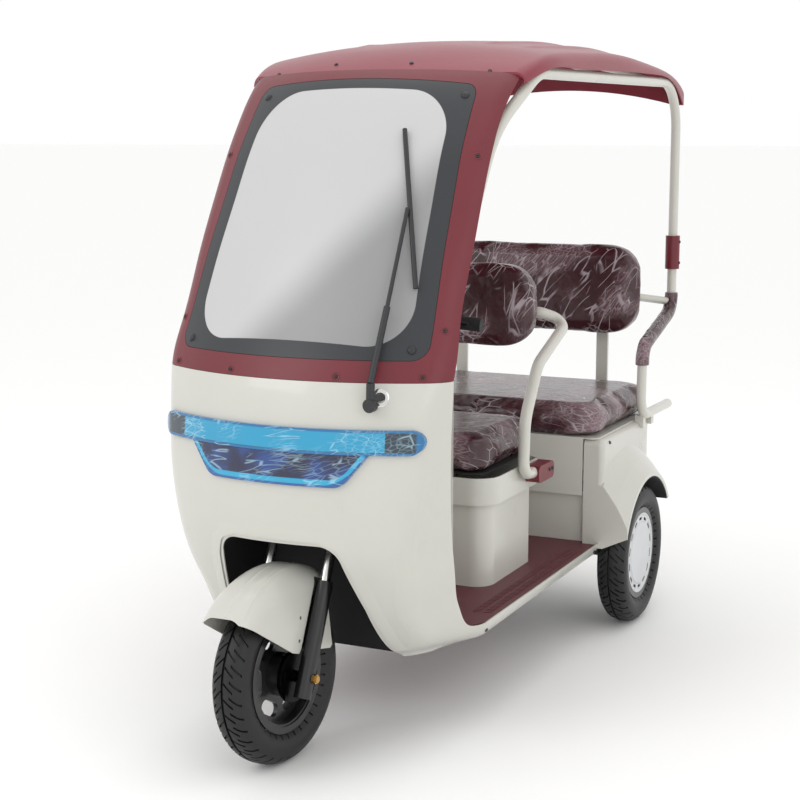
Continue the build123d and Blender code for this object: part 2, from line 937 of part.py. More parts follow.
# ---- cushions ----
hinge_x = 150
hinge_y = at_front(662)
hinge_z = seat_base + seat_board + 0.5
pin_radius = 2.5
knuckle_radius = 4.2
knuckle_length = 20

with BuildPart() as driver_seat:
    with BuildSketch(Plane.XY.offset(seat_base + seat_board + clearance)):
        with Locations((0, at_front(seat_front + seat_depth / 2))):
            RectangleRounded(2 * seat_half, seat_depth, 60)
    extrude(amount=seat_thick - seat_board)
    fillet(driver_seat.faces().sort_by(Axis.Z)[-1].edges(), 26)
    for side in (-1, 1):
        with Locations((side * hinge_x, hinge_y, seat_base)):
            Box(76, 17, 11, align=(Align.CENTER, Align.CENTER, Align.MIN), mode=Mode.SUBTRACT)
save(driver_seat, "driver_seat")

# ---- seat board with its hinge knuckles, and the hinge leaves on the box ----
with BuildPart() as seat_base_board:
    with BuildSketch(Plane.XY.offset(seat_base)):
        with Locations((0, at_front(seat_front + seat_depth / 2))):
            RectangleRounded(2 * seat_half - 20, seat_depth - 16, 52)
    extrude(amount=seat_board)
    for side in (-1, 1):
        with Locations((side * hinge_x, hinge_y, seat_base)):
            Box(72, 17, 20, align=(Align.CENTER, Align.CENTER, Align.CENTER), mode=Mode.SUBTRACT)
        with BuildSketch(Plane.YZ.offset(side * hinge_x - knuckle_length / 2)):
            with Locations((hinge_y, hinge_z)):
                Circle(knuckle_radius)
            with Locations((hinge_y, seat_base)):
                Rectangle(12, seat_board, align=(Align.MIN, Align.MIN))
            with Locations((hinge_y, hinge_z)):
                Circle(pin_radius + running_fit, mode=Mode.SUBTRACT)
        extrude(amount=knuckle_length)
save(seat_base_board, "seat_base_board")

leaf_end = knuckle_length / 2 + 0.5
with BuildPart() as seat_hinges:
    for side in (-1, 1):
        for end in (-1, 1):
            with BuildSketch(Plane.YZ.offset(side * hinge_x + end * leaf_end)):
                with Locations((hinge_y, hinge_z)):
                    Circle(knuckle_radius)
                with Locations((hinge_y, hinge_z)):
                    Rectangle(2 * knuckle_radius, 24, align=(Align.CENTER, Align.MAX))
                with Locations((hinge_y, hinge_z - 24)):
                    leaf_reach = hinge_y - at_front(driver_box_front) - driver_box_wall - clearance
                    Rectangle(leaf_reach, 8, align=(Align.MAX, Align.MIN))
            extrude(amount=end * 14)
        with BuildSketch(Plane.YZ.offset(side * hinge_x - leaf_end - 14)):
            with Locations((hinge_y, hinge_z)):
                Circle(pin_radius)
        extrude(amount=2 * (leaf_end + 14))
save(seat_hinges, "seat_hinges")

with BuildPart() as rear_bench:
    with BuildSketch(Plane.XY.offset(bench_base)):
        with Locations((0, at_rear(bench_front + bench_depth / 2))):
            RectangleRounded(2 * bench_half, bench_depth, 70)
    extrude(amount=bench_thick)
    fillet(rear_bench.faces().sort_by(Axis.Z)[-1].edges(), 26)
save(rear_bench, "rear_bench")


def back_cushion(half, low, high, back, lean, corner):
    base = Plane(origin=(0, back, (low + high) / 2), x_dir=(1, 0, 0), z_dir=(0, -1, lean))
    with BuildPart() as cushion:
        with BuildSketch(base):
            RectangleRounded(2 * half, high - low, corner)
        extrude(amount=back_pad)
        fillet(cushion.faces().sort_by(Axis((0, 0, 0), base.z_dir))[-1].edges(), 24)
    return cushion.part


with BuildPart() as driver_backrest:
    add(back_cushion(246, 884, 1132, at_front(grab_cross) - grip_tube - clearance, 0, 96))
save(driver_backrest, "driver_backrest")

with BuildPart() as rear_backrest:
    add(back_cushion(338, 852, 1146, back_bar_station - bar_tube - clearance, 0, 90))
save(rear_backrest, "rear_backrest")

# ---- steering axis ----
lean = radians(rake)
turn = radians(-steer_at_rest)
steer = Plane(
    origin=(0, at_front(fork_offset * cos(lean)), axle_height - fork_offset * sin(lean)),
    x_dir=(cos(turn), sin(turn) * cos(lean), -sin(turn) * sin(lean)),
    z_dir=(0, sin(lean), cos(lean)),
)
wheel_middle = steer.from_local_coords((0, -fork_offset, 0))
leg_half = leg_spacing / 2

# ---- chassis: two rails kicked up over the axle, cross tubes, spine and head tube ----
rail_high = 372
rail_half = rail_spacing / 2
kick_start = -172
kick_end = -92
head_low = 455
head_high = 600
head_radius = 25
stem_radius = 15


def chassis_rails(radius):
    rail_path = [
        (rail_half, at_front(front_cross - 10), rail_low),
        (rail_half, at_rear(kick_start), rail_low),
        (rail_half, at_rear(kick_end), rail_high),
        (rail_half, at_rear(330), rail_high),
    ]
    return both_sides(bent_tube(rail_path, 70, radius))


with BuildPart() as chassis_frame:
    for solid in chassis_rails(rail_radius):
        add(solid)
    beam_end = 298
    beam_y = at_front(front_cross)
    front_beam = [(-beam_end, beam_y, front_cross_height), (beam_end, beam_y, front_cross_height)]
    add(bent_tube(front_beam, 0, front_cross_radius))
    for station in (640, 1010):
        line = [(-330, at_front(station), rail_low), (330, at_front(station), rail_low)]
        add(bent_tube(line, 0, rail_radius - 1))
    for station in (-60, 180, 320):
        line = [(-rail_half, at_rear(station), rail_high), (rail_half, at_rear(station), rail_high)]
        add(bent_tube(line, 0, rail_radius - 3))
    head_middle = steer.from_local_coords((0, 30, (head_low + head_high) / 2))
    spine = [
        (0, at_front(front_cross), front_cross_height),
        (0, at_front(front_cross + 16), 480),
        (0, head_middle.Y, head_middle.Z),
    ]
    add(bent_tube(spine, 120, rail_radius))
    with BuildSketch(steer.offset(head_low)):
        Circle(head_radius)
    extrude(amount=head_high - head_low)
    with BuildSketch(steer.offset(head_low - 60)):
        Circle(stem_radius + running_fit)
    extrude(amount=head_high - head_low + 120, mode=Mode.SUBTRACT)
save(chassis_frame, "chassis_frame")

# ---- rear axle, motor and leaf springs ----
axle_radius_rear = 24
leaf_low = axle_height + axle_radius_rear + 4
drum_x = 390
drum_width = 45
with BuildPart() as rear_axle:
    with BuildSketch(Plane.YZ.offset(-drum_x)):
        with Locations((at_rear(0), axle_height)):
            Circle(axle_radius_rear)
    extrude(amount=2 * drum_x)
    for side in (-1, 1):
        with BuildSketch(Plane.YZ.offset(side * (drum_x - drum_width))):
            with Locations((at_rear(0), axle_height)):
                Circle(82)
        extrude(amount=side * drum_width)
        with Locations((side * rail_half, at_rear(0), axle_height)):
            Box(52, 70, leaf_low - clearance - axle_height, align=(Align.CENTER, Align.CENTER, Align.MIN))
        with BuildSketch(Plane.YZ.offset(side * drum_x)):
            with Locations((at_rear(0), axle_height)):
                Circle(14)
        extrude(amount=side * (track / 2 - drum_x + 12))
save(rear_axle, "rear_axle")

with BuildPart() as drive_motor:
    with Locations((40, at_rear(0), axle_height)):
        Box(190, 200, 170)
    fillet(drive_motor.edges().filter_by(Axis.X), 50)
    with BuildSketch(Plane.YZ.offset(-400)):
        with Locations((at_rear(0), axle_height)):
            Circle(axle_radius_rear + clearance)
    extrude(amount=800, mode=Mode.SUBTRACT)
save(drive_motor, "drive_motor")

leaf_radius = 900
leaf_half = 155
with BuildPart() as leaf_springs:
    for side in (-1, 1):
        with BuildSketch(Plane.YZ.offset(side * rail_half)) as leaf:
            with BuildLine():
                rise = leaf_radius - sqrt(leaf_radius**2 - leaf_half**2)
                Line((at_rear(-leaf_half), leaf_low + rise), (at_rear(-leaf_half), leaf_low + rise + 14))
                ThreePointArc(
                    (at_rear(-leaf_half), leaf_low + rise + 14),
                    (at_rear(0), leaf_low + 14),
                    (at_rear(leaf_half), leaf_low + rise + 14),
                )
                Line((at_rear(leaf_half), leaf_low + rise + 14), (at_rear(leaf_half), leaf_low + rise))
                ThreePointArc(
                    (at_rear(leaf_half), leaf_low + rise),
                    (at_rear(0), leaf_low),
                    (at_rear(-leaf_half), leaf_low + rise),
                )
            make_face()
        extrude(amount=22, both=True)
        with Locations((side * rail_half, at_rear(0), leaf_low)):
            Box(52, 70, 22, align=(Align.CENTER, Align.CENTER, Align.MIN))
        for station, top in ((24 - leaf_half, rail_high - 60), (leaf_half - 24, rail_high - rail_radius)):
            with Locations((side * rail_half, at_rear(station), leaf_low + rise)):
                Box(30, 26, top - leaf_low - rise, align=(Align.CENTER, Align.CENTER, Align.MIN))
    for solid in chassis_rails(rail_radius + clearance):
        add(solid, mode=Mode.SUBTRACT)
save(leaf_springs, "leaf_springs")

# ---- front fork: sliders, stanchions, crown with stem, axle ----
slider_low = -50
slider_high = 232
crown_low = 398
crown_thick = 26
stem_top = 880
axle_radius = 8
hub = Plane(
    origin=wheel_middle,
    x_dir=steer.x_dir,
    z_dir=steer.z_dir * cos(lean) - steer.y_dir * sin(lean),
)
side_view = Plane(origin=wheel_middle, x_dir=hub.y_dir, z_dir=hub.x_dir)
fender_half = 72
fender_wall = 3
lug_x = fender_half - fender_wall - clearance - 4

with BuildPart() as fork_legs:
    for side in (-1, 1):
        with BuildSketch(steer.offset(slider_low)):
            with Locations((side * leg_half, -fork_offset)):
                Circle(leg_radius)
        extrude(amount=slider_high - slider_low)
        with BuildSketch(side_view.offset(side * lug_x)):
            Polygon((-12, 74), (40, 62), (70, 150), (2, 156), align=None)
        extrude(amount=side * 4)
    for side in (-1, 1):
        with BuildSketch(steer.offset(60)):
            with Locations((side * leg_half, -fork_offset)):
                Circle(stanchion_radius + running_fit)
        extrude(amount=slider_high, mode=Mode.SUBTRACT)
    with BuildSketch(side_view.offset(-leg_half - 40)):
        Circle(axle_radius + running_fit)
    extrude(amount=2 * leg_half + 80, mode=Mode.SUBTRACT)
save(fork_legs, "fork_legs")

with BuildPart() as fork_stanchions:
    for side in (-1, 1):
        with BuildSketch(steer.offset(62)):
            with Locations((side * leg_half, -fork_offset)):
                Circle(stanchion_radius)
        extrude(amount=crown_low + crown_thick - 62)
save(fork_stanchions, "fork_stanchions")

bar_radius = 11
bar_level = 862
with BuildPart() as fork_crown:
    with BuildSketch(steer.offset(crown_low)):
        with Locations((-leg_half, -fork_offset), (leg_half, -fork_offset)):
            Circle(leg_radius + 2)
        Circle(30)
        make_hull()
        with Locations((-leg_half, -fork_offset), (leg_half, -fork_offset)):
            Circle(stanchion_radius + running_fit, mode=Mode.SUBTRACT)
    extrude(amount=crown_thick)
    with BuildSketch(steer.offset(crown_low)):
        Circle(stem_radius)
    extrude(amount=stem_top - crown_low)
    with BuildSketch(steer.offset(bar_level - 22)):
        RectangleRounded(54, 40, 8)
    extrude(amount=44)
    with BuildSketch(Plane(origin=steer.from_local_coords((-60, 0, bar_level)), z_dir=steer.x_dir)):
        Circle(bar_radius + running_fit)
    extrude(amount=120, mode=Mode.SUBTRACT)
save(fork_crown, "fork_crown")

# ---- handlebar with its levers, and the grips ----
grip_radius = 17
grip_length = 122
bar_points = [(0, 0, bar_level), (62, 0, bar_level), (160, 20, 925), (215, 36, 925), (325, 63, 923)]
lever_points = [(196, 31, 925), (202, 4, 918), (232, -2, 912), (318, 18, 908)]


def on_fork(points, side):
    return [steer.from_local_coords((side * x, y, z)) for x, y, z in points]


with BuildPart() as handlebar:
    for side in (-1, 1):
        add(bent_tube(on_fork(bar_points, side), 26, bar_radius))
        add(bent_tube(on_fork(lever_points, side), 8, 5))
save(handlebar, "handlebar")


def grip_end(side):
    inner, outer = on_fork(bar_points[-2:], side)
    return [outer + (inner - outer).normalized() * grip_length, outer + (outer - inner).normalized() * 4]


with BuildPart() as handlebar_grips:
    for side in (-1, 1):
        add(bent_tube(grip_end(side), 0, grip_radius))
        add(bent_tube(on_fork(bar_points, side), 26, bar_radius + running_fit), mode=Mode.SUBTRACT)
save(handlebar_grips, "handlebar_grips")

# ---- front axle with nuts, spacers and the brake plate ----
hub_half = 40
nut_reach = leg_half + leg_radius + 13
with BuildPart() as front_axle:
    with BuildSketch(side_view.offset(-nut_reach)):
        Circle(axle_radius)
    extrude(amount=2 * nut_reach)
    for side in (-1, 1):
        with BuildSketch(side_view.offset(side * (leg_half + leg_radius + clearance))):
            RegularPolygon(12, 6)
        extrude(amount=side * 9)
        with BuildSketch(side_view.offset(side * (hub_half + 5.5))):
            Circle(14)
        extrude(amount=side * (leg_half - leg_radius - clearance - hub_half - 5.5))
    with BuildSketch(side_view.offset(hub_half + 5.5)):
        Circle(62)
    extrude(amount=9)
    with BuildSketch(side_view.offset(hub_half + 14.5)):
        with Locations((-46, -10)):
            Rectangle(12, 70)
    extrude(amount=5)
save(front_axle, "front_axle")

# ---- front mudguard: helmet shape with side flaps that straddle the fork ----
crown_line = [(-200, 190), (-166, 217), (-108, 244), (0, 263), (80, 254), (152, 216)]
fender_round = 50
leg_slot = 23


def fender_solid(inset):
    with BuildPart() as helmet:
        with BuildSketch(side_view.offset(-fender_half + inset)):
            with BuildLine():
                crown = Spline(*[(y, z - inset) for y, z in crown_line])
                Polyline(crown @ 1, (152, -40), (-200, -40), crown @ 0)
            make_face()
        extrude(amount=2 * (fender_half - inset))
        top = helmet.faces().sort_by(Axis(hub.origin, hub.z_dir))[-1]
        ridges = [edge for edge in top.edges() if edge.length > 200]
        fillet(ridges, fender_round - inset)
    return helmet.part


with BuildPart() as front_fender:
    add(fender_solid(0))
    add(fender_solid(fender_wall), mode=Mode.SUBTRACT)
    with BuildSketch(side_view.offset(-100)) as flaps:
        with BuildLine():
            Polyline(
                (-240, 187),
                (-200, 176),
                (-28, 66),
                (-4, 58),
                (12, 72),
                (40, 130),
                (82, 130),
                (62, 50),
                (128, 36),
                (137, 42),
                (128, 140),
                (150, 232),
                (60, 300),
                (-240, 300),
                close=True,
            )
        make_face()
    extrude(amount=200, mode=Mode.INTERSECT)
    for side in (-1, 1):
        with BuildSketch(steer.offset(-60)):
            with Locations((side * (leg_half - leg_slot), -fork_offset)):
                Rectangle(100, 2 * leg_slot, align=(Align.MIN if side > 0 else Align.MAX, Align.CENTER))
        extrude(amount=560, mode=Mode.SUBTRACT)
    for y, z in ((10, 142), (1, 88)):
        with BuildSketch(side_view.offset(-100)):
            with Locations((y, z)):
                Circle(4.5)
        extrude(amount=200, mode=Mode.SUBTRACT)
save(front_fender, "front_fender")

# ---- wheels ----
bead_half = 30
tyre_half = tyre_width / 2
bead_radius = tyre_bore / 2
crown_radius = tyre_diameter / 2
flange_half = bead_half + clearance + 3.2


def wheel_plane(middle, axle_dir, face_dir):
    return Plane(origin=middle, x_dir=axle_dir, z_dir=face_dir)


def tyre_ring(plane):
    with BuildPart() as ring:
        with BuildSketch(plane):
            with BuildLine():
                Spline(
                    (-bead_half, bead_radius + 11),
                    (-tyre_half, bead_radius + 37),
                    (8 - tyre_half, crown_radius - 12),
                    (0, crown_radius),
                    (tyre_half - 8, crown_radius - 12),
                    (tyre_half, bead_radius + 37),
                    (bead_half, bead_radius + 11),
                )
                Polyline(
                    (bead_half, bead_radius + 11),
                    (bead_half, bead_radius),
                    (-bead_half, bead_radius),
                    (-bead_half, bead_radius + 11),
                )
            make_face()
        revolve(axis=Axis(plane.origin, plane.x_dir))
    return ring.part


def rim_ring(plane, disc_low, disc_high, bore, hub_low, hub_high, hub_radius):
    seat = bead_radius - clearance
    with BuildPart() as ring:
        with BuildSketch(plane):
            Polygon(
                (-bead_half - clearance, seat - 12.7),
                (bead_half + clearance, seat - 12.7),
                (bead_half + clearance, seat - 6.7),
                (flange_half, seat - 6.7),
                (flange_half, seat + 10),
                (bead_half + clearance, seat + 10),
                (bead_half + clearance, seat),
                (-bead_half - clearance, seat),
                (-bead_half - clearance, seat + 10),
                (-flange_half, seat + 10),
                (-flange_half, seat - 6.7),
                (-bead_half - clearance, seat - 6.7),
                align=None,
            )
            Polygon(
                (disc_low, bore),
                (disc_high, bore),
                (disc_high, seat - 8),
                (disc_low, seat - 8),
                align=None,
            )
            Polygon(
                (hub_low, bore),
                (hub_high, bore),
                (hub_high, hub_radius),
                (hub_low, hub_radius),
                align=None,
            )
        revolve(axis=Axis(plane.origin, plane.x_dir))
    return ring.part


front_face = wheel_plane(wheel_middle, steer.x_dir, steer.y_dir * -1)
with BuildPart() as front_tyre:
    add(tyre_ring(front_face))
save(front_tyre, "front_tyre")

spoke_gap_inner = 62
spoke_gap_outer = 108
with BuildPart() as front_rim:
    add(rim_ring(front_face, -6, 6, axle_radius + running_fit, -hub_half, hub_half, 52))
    with BuildSketch(side_view.offset(-20)):
        with PolarLocations(0, 6):
            with Locations(((spoke_gap_inner + spoke_gap_outer) / 2, 0)):
                SlotCenterToCenter(34, 34, rotation=90)
    extrude(amount=40, mode=Mode.SUBTRACT)
save(front_rim, "front_rim")

stub_radius = 14
cover_step = 94
cover_edge = bead_radius - clearance - 7
slot_count = 14


def rear_plane(side):
    return wheel_plane((side * track / 2, at_rear(0), axle_height), (side, 0, 0), (0, -side, 0))


def rear_rim(side):
    disc = side * (drum_x - track / 2) * side + 5
    return rim_ring(rear_plane(side), disc, disc + 4, stub_radius + running_fit, disc, disc + 26, 32)


def wheel_cover(side):
    plane = rear_plane(side)
    with BuildPart() as cover:
        with BuildSketch(plane):
            Polygon(
                (30, 0),
                (34, 0),
                (34, cover_step),
                (31.5, cover_step + 4),
                (31.5, cover_edge - 8),
                (34, cover_edge - 4),
                (34, cover_edge),
                (30.6, cover_edge),
                (30.6, cover_edge - 6.5),
                (28.5, cover_edge - 8),
                (28.5, cover_step + 4),
                align=None,
            )
        revolve(axis=Axis(plane.origin, plane.x_dir))
        with BuildSketch(Plane(origin=plane.origin, z_dir=plane.x_dir)):
            with PolarLocations((cover_step + 3 + cover_edge - 8) / 2, slot_count):
                SlotOverall(27, 9, rotation=90)
        extrude(amount=60, mode=Mode.SUBTRACT)
    return cover.part


for side, name in ((1, "left"), (-1, "right")):
    with BuildPart() as rear_tyre:
        add(tyre_ring(rear_plane(side)))
    save(rear_tyre, f"rear_tyre_{name}")
    with BuildPart() as rim:
        add(rear_rim(side))
    save(rim, f"rear_rim_{name}")
    with BuildPart() as cover:
        add(wheel_cover(side))
    save(cover, f"wheel_cover_{name}")

# ---- wiper: spindle, arm and blade ----
blade = [(283, at_front(172), 1136), (228, at_front(256), 1330), (171, at_front(349), 1502)]
with BuildPart() as wiper:
    add(bent_tube([(262, at_front(92), 897), (240, at_front(24), 893)], 0, 9))
    add(bent_tube([(240, at_front(30), 880), (238, at_front(14), 879)], 0, 16))
    add(bent_tube([(239, at_front(22), 882), (236, at_front(30), 929)], 0, 10))
    add(bent_tube([(236, at_front(30), 929), (235, at_front(119), 1096)], 0, 8))
    add(bent_tube([(235, at_front(119), 1096), (230, at_front(240), 1318)], 0, 5))
    with BuildLine() as edge:
        ThreePointArc(*blade)
    with BuildSketch(Plane(origin=edge.line @ 0, z_dir=edge.line % 0)):
        Circle(6)
    sweep(path=edge.line)
    add(skin_seat, mode=Mode.SUBTRACT)
save(wiper, "wiper")
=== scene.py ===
# %% [markdown]
# # An electric tricycle with a roof
#
# This is a three-wheeled electric tricycle with a moulded cab, two rows of seats and
# a roof on bent tubes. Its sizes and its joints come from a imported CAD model. Here
# each CAD part gets its finish, the soft parts are made again as soft parts, and the
# small fittings are added. Everything is in metres, in the frame of the CAD model.

import json
import math

import bmesh
import bpy
from mathutils import Matrix, Vector, noise
from mathutils.bvhtree import BVHTree


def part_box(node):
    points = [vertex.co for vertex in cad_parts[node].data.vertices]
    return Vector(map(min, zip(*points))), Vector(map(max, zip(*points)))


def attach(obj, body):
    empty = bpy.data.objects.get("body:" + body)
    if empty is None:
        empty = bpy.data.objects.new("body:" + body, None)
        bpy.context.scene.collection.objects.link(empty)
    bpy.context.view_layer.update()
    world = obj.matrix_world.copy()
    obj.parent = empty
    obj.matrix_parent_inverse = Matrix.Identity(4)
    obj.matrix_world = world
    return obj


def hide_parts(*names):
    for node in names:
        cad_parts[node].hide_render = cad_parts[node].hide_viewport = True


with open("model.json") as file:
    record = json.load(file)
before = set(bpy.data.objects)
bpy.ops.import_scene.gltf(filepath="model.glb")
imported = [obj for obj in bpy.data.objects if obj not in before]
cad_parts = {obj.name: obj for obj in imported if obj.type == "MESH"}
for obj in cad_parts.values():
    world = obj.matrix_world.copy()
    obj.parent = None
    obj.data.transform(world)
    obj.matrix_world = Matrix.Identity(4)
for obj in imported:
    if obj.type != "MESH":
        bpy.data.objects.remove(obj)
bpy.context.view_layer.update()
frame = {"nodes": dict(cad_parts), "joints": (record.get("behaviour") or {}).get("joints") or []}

# %% [markdown]
# ## A small language for finishes
#
# A finish is a tree of nodes, which soon becomes hard to read when each node takes
# three lines. So a socket is wrapped in a Wire, which can stand in a sum, and a
# Finish makes any other node in one call: its type, its settings, its inputs.

# %% Wires and finishes
class Wire:
    """An output of a node, which can be added, taken away, multiplied and divided."""

    def __init__(self, finish, socket):
        self.finish = finish
        self.socket = socket

    def maths(self, operation, *values):
        return self.finish.node("ShaderNodeMath", {"operation": operation}, dict(enumerate(values)))

    def __add__(self, other):
        return self.maths("ADD", self, other)

    def __radd__(self, other):
        return self.maths("ADD", other, self)

    def __sub__(self, other):
        return self.maths("SUBTRACT", self, other)

    def __rsub__(self, other):
        return self.maths("SUBTRACT", other, self)

    def __mul__(self, other):
        return self.maths("MULTIPLY", self, other)

    def __rmul__(self, other):
        return self.maths("MULTIPLY", other, self)

    def __truediv__(self, other):
        return self.maths("DIVIDE", self, other)

    def __rtruediv__(self, other):
        return self.maths("DIVIDE", other, self)

    def size(self):
        return self.maths("ABSOLUTE", self)

    def most(self, other):
        return self.maths("MAXIMUM", self, other)

    def rise(self, start, end):
        """0 before start and 1 after end, with a soft step between; start may be above end."""
        ends = {"Value": self, "From Min": start, "From Max": end}
        return self.finish.node("ShaderNodeMapRange", {"interpolation_type": "SMOOTHSTEP"}, ends)


class Finish:
    """One material on the Principled shader, with a short way to add nodes."""

    def __init__(self, name):
        self.material = bpy.data.materials.new(name)
        self.material.use_nodes = True
        self.tree = self.material.node_tree
        self.shader = self.tree.nodes["Principled BSDF"]

    def feed(self, socket, value):
        if isinstance(value, Wire):
            self.tree.links.new(value.socket, socket)
        else:
            socket.default_value = value

    def node(self, kind, settings, inputs, output=0):
        made = self.tree.nodes.new(kind)
        for name, value in settings.items():
            setattr(made, name, value)
        for name, value in inputs.items():
            self.feed(made.inputs[name], value)
        return Wire(self, made.outputs[output])

    def set(self, **values):
        for name, value in values.items():
            self.feed(self.shader.inputs[name.replace("_", " ")], value)
        return self

    def place(self):
        """Where a point is on the object, in metres."""
        return self.node("ShaderNodeTexCoord", {}, {}, "Object")

    def parts(self, vector):
        made = self.tree.nodes.new("ShaderNodeSeparateXYZ")
        self.feed(made.inputs[0], vector)
        return [Wire(self, output) for output in made.outputs]

    def noise(self, vector, scale, detail=2.0, rough=0.5):
        inputs = {"Vector": vector, "Scale": scale, "Detail": detail, "Roughness": rough}
        return self.node("ShaderNodeTexNoise", {}, inputs, 0)

    def corner_reach(self, first, second):
        """How far a point lies past the centre of a round corner."""
        first, second = first.most(0.0), second.most(0.0)
        return (first * first + second * second).maths("SQRT", first * first + second * second)

    def mix(self, share, first, second):
        """first where share is 0 and second where it is 1, both colours."""
        inputs = {"Factor": share, 6: first, 7: second}
        return self.node("ShaderNodeMix", {"data_type": "RGBA"}, inputs, 2)

    def bump(self, height, distance, strength=1.0):
        inputs = {"Height": height, "Distance": distance, "Strength": strength}
        return self.node("ShaderNodeBump", {}, inputs)


def paint(red, green, blue):
    """A colour as a paint card gives it, 0 to 255, as the shader wants it."""
    channels = [value / 255 for value in (red, green, blue)]
    linear = [v / 12.92 if v < 0.04045 else ((v + 0.055) / 1.055) ** 2.4 for v in channels]
    return (*linear, 1.0)


# %% [markdown]
# ## Painted and moulded finishes
#
# The cab is glossy moulded plastic in warm ivory, the roof and the windscreen
# surround are a satin wine red, and the tubes are powder coated. Such finishes are
# never quite even: the colour and the gloss drift a little, and the moulding has an
# orange-peel skin. One function gives them all these and takes what differs.

# %% Moulded plastic and paint
def moulded(name, colour, roughness=0.35, peel=0.00005, grain=900, coat=0.0, drift=0.06, metal=0.0):
    finish = Finish(name)
    place = finish.place()
    cloud = finish.noise(place, 7.0, 3.0)
    fine = finish.noise(place, grain, 2.0)
    darker = (*[value * (1 - drift) for value in colour[:3]], 1.0)
    lighter = (*[min(1.0, value * (1 + drift)) for value in colour[:3]], 1.0)
    finish.set(
        Base_Color=finish.mix(cloud.rise(0.3, 0.7), darker, lighter),
        Roughness=(cloud - 0.5) * 0.12 + (fine - 0.5) * 0.06 + roughness,
        Metallic=metal,
        Normal=finish.bump(fine, peel, 0.6),
    )
    finish.set(Coat_Weight=coat, Coat_Roughness=0.08)
    return finish


ivory = moulded("ivory plastic", paint(200, 199, 191), 0.3, coat=0.35, drift=0.012)
wine = moulded("wine red plastic", paint(108, 30, 40), 0.4, 0.00012, 1400, drift=0.03)
# painted light: the roof is the same wine red as the surround, made lighter for the top of the cab
wine_roof_lit_copy = moulded("wine red roof", paint(132, 44, 58), 0.34, 0.00010, 1200, drift=0.03)
tube_ivory = moulded("ivory tube paint", paint(204, 203, 194), 0.3, 0.00006, 700, coat=0.3, drift=0.015)
black_plastic = moulded("black plastic", paint(30, 31, 33), 0.5, 0.00015, 1500, drift=0.1)
wiper_black = moulded("wiper black", paint(38, 39, 41), 0.42, 0.0001, 1500, drift=0.08)
frame_paint = moulded("black frame paint", paint(18, 18, 19), 0.35, 0.00008, 500, coat=0.2, drift=0.1)
grip_rubber = moulded("grip rubber", paint(22, 22, 23), 0.7, 0.0002, 1800, drift=0.1)
rim_paint = moulded("black rim paint", paint(24, 24, 25), 0.3, 0.00005, 500, coat=0.3, drift=0.1)
cover_silver = moulded("silver cover", paint(205, 207, 209), 0.32, 0.00004, 900, drift=0.03, metal=0.35)
bright_steel = moulded("bright steel", paint(214, 214, 212), 0.18, 0.00002, 600, drift=0.03, metal=1.0)
zinc = paint(198, 160, 96)
brass = moulded("yellow zinc plating", zinc, 0.3, 0.00004, 700, drift=0.12, metal=1.0)
# only the nuts outside the fork legs are plated, and the hub between them is dark
outside_legs = brass.parts(brass.place())[0].size().rise(0.098, 0.1)
brass.set(Base_Color=brass.mix(outside_legs, paint(34, 34, 36), zinc))
casting = moulded("motor casting", paint(150, 152, 154), 0.5, 0.0003, 420, drift=0.08, metal=0.8)
battery_case = moulded("battery case", paint(40, 42, 44), 0.5, 0.0002, 900, drift=0.06)
board_black = moulded("seat board", paint(34, 32, 31), 0.7, 0.0002, 700, drift=0.12)
lamp_red = moulded("red lamp lens", paint(150, 14, 18), 0.12, 0.00003, 300, coat=1.0, drift=0.08)

# %% [markdown]
# ## The windscreen
#
# The real pane is one bent sheet with a black printed border, wider at the foot, and
# large round corners to its clear area. The print could be a second sheet, but two
# surfaces a hair apart flicker. So one finish draws both: the distance to a rounded
# box in the object's own coordinates says what is border and what is clear. The clear
# area is a painted reflection: a nearly opaque light grey, darker towards the lower right.

# %% Glass with its printed border
pane = Finish("windscreen glass")
x, y, z = pane.parts(pane.place())
clear_corner = 0.105
clear_half = 0.2855 - (z - 1.087) * 0.055
clear_rise = 0.2955
side_reach = x.size() - clear_half + clear_corner
top_reach = (z - 1.3085 + x * x * 0.22).size() - clear_rise + clear_corner
print_edge = 0.0008
border = (pane.corner_reach(side_reach, top_reach) - clear_corner).rise(-print_edge, print_edge)
# painted reflection: the clear area is a nearly opaque light grey, darker along a slant towards the
# lower right
slant = (x + 0.137) * 1.128 + 1.016 - z
painted_reflection_grey = pane.mix(slant.rise(-0.06, 0.14), paint(198, 198, 198), paint(150, 150, 151))
pane.set(
    Base_Color=pane.mix(border, painted_reflection_grey, paint(44, 46, 50)),
    Roughness=border * 0.05 + 0.34,
    Alpha=border * 0.08 + 0.92,
    IOR=1.5,
)

# %% [markdown]
# ## Leatherette under clear film
#
# The cushions are dark wine leatherette, and they still wear the clear film they
# were packed in. The film clings and folds in creases that run mostly one way, and
# the creases are painted near white: a painted highlight where the film catches the
# light. A crease is the edge between two cells of a cell pattern that is turned and
# pulled long, so the edges become long thin strokes, and a soft noise breaks them up.
# A second set crosses them, and a third, finer one fills patches. Milky patches are
# painted lighter too, partly the film's own haze and partly painted sheen.

# %% Leatherette and lamp film
def creased(finish, place, turn, length, scale, width, wander=0.012):
    """1 on thin, nearly straight creases and 0 between them."""
    drift = finish.node("ShaderNodeTexNoise", {}, {"Vector": place, "Scale": 7.0, "Detail": 1.0}, 1)
    bent = finish.node(
        "ShaderNodeVectorMath", {"operation": "MULTIPLY_ADD"}, {0: drift, 1: (wander,) * 3, 2: place}
    )
    inputs = {"Vector": bent, "Scale": (length, 1.0, 1.0), "Rotation": turn}
    run = finish.node("ShaderNodeMapping", {"vector_type": "TEXTURE"}, inputs)
    cells = {"Vector": run, "Scale": scale}
    edge = finish.node("ShaderNodeTexVoronoi", {"feature": "DISTANCE_TO_EDGE"}, cells, 0)
    return edge.rise(width, width * 0.3)


